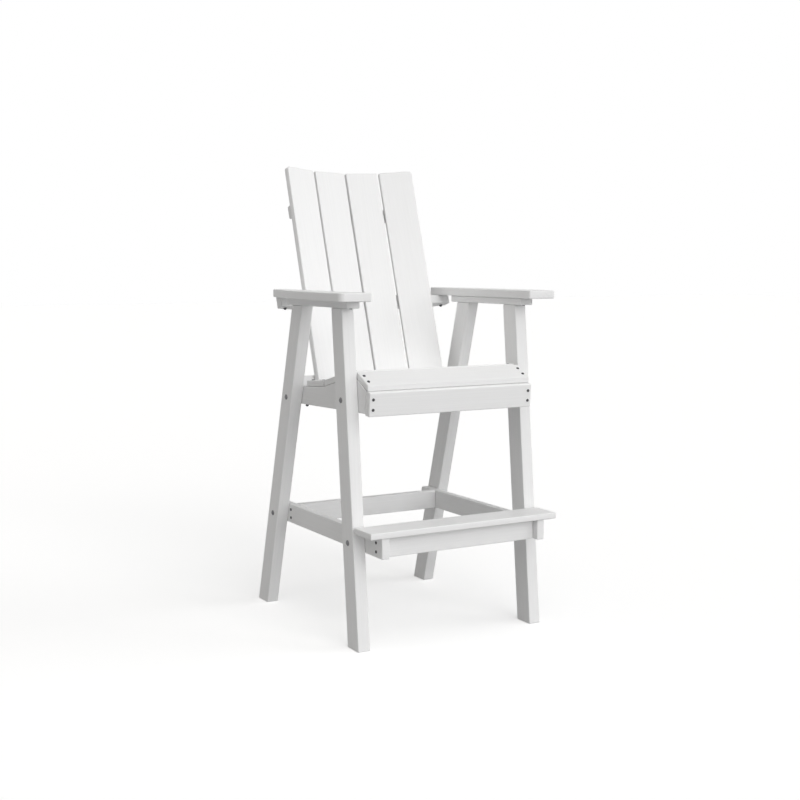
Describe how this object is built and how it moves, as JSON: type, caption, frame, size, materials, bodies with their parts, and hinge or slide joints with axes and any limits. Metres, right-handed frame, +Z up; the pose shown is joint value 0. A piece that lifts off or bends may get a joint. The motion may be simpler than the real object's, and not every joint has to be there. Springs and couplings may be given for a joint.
{
  "type": "tall patio chair",
  "caption": "Bar-height outdoor armchair of white slat boards, with a curved slatted back, a contoured seat, broad arms on cleats and a footrest.",
  "frame": {"origin": "on the floor, under the middle of the chair's box", "axes": "+Z up; the chair faces -Y; +X is the sitter's left hand. Node names say left and right as seen from the front of the chair, so left is -X"},
  "size_m": [0.751, 0.7974, 1.4397],
  "materials": {
    "lumber": "white poly lumber, satin",
    "steel": "dark coated steel"
  },
  "bodies": {
    "root": {"front_leg_left": "lumber", "front_leg_right": "lumber", "rear_leg_left": "lumber", "rear_leg_right": "lumber", "seat_rail_left": "lumber", "seat_rail_right": "lumber", "seat_apron": "lumber", "seat_nose_slat": "lumber", "seat_slat_front": "lumber", "seat_slat_middle": "lumber", "seat_slat_rear": "lumber", "back_slat_1": "lumber", "back_slat_2": "lumber", "back_slat_3": "lumber", "back_slat_4": "lumber", "lower_back_rail": "lumber", "arm_brace": "lumber", "upper_batten": "lumber", "arm_left": "lumber", "arm_right": "lumber", "arm_cleat_left": "lumber", "arm_cleat_right": "lumber", "side_stretcher_left": "lumber", "side_stretcher_right": "lumber", "footrest_stretcher": "lumber", "rear_stretcher": "lumber", "footrest_board": "lumber", "seat_front_bolt_left": "steel", "seat_front_bolt_right": "steel", "seat_rear_bolt_left": "steel", "seat_rear_bolt_right": "steel", "stretcher_front_bolt_left": "steel", "stretcher_front_bolt_right": "steel", "stretcher_rear_bolt_left": "steel", "stretcher_rear_bolt_right": "steel", "seat_front_nut_left": "steel", "seat_front_nut_right": "steel", "seat_rear_nut_left": "steel", "seat_rear_nut_right": "steel", "stretcher_front_nut_left": "steel", "stretcher_front_nut_right": "steel", "stretcher_rear_nut_left": "steel", "stretcher_rear_nut_right": "steel", "arm_lag_screw_left": "steel", "arm_lag_screw_right": "steel", "back_rail_lag_screw_left": "steel", "back_rail_lag_screw_right": "steel"}
  },
  "joints": []
}
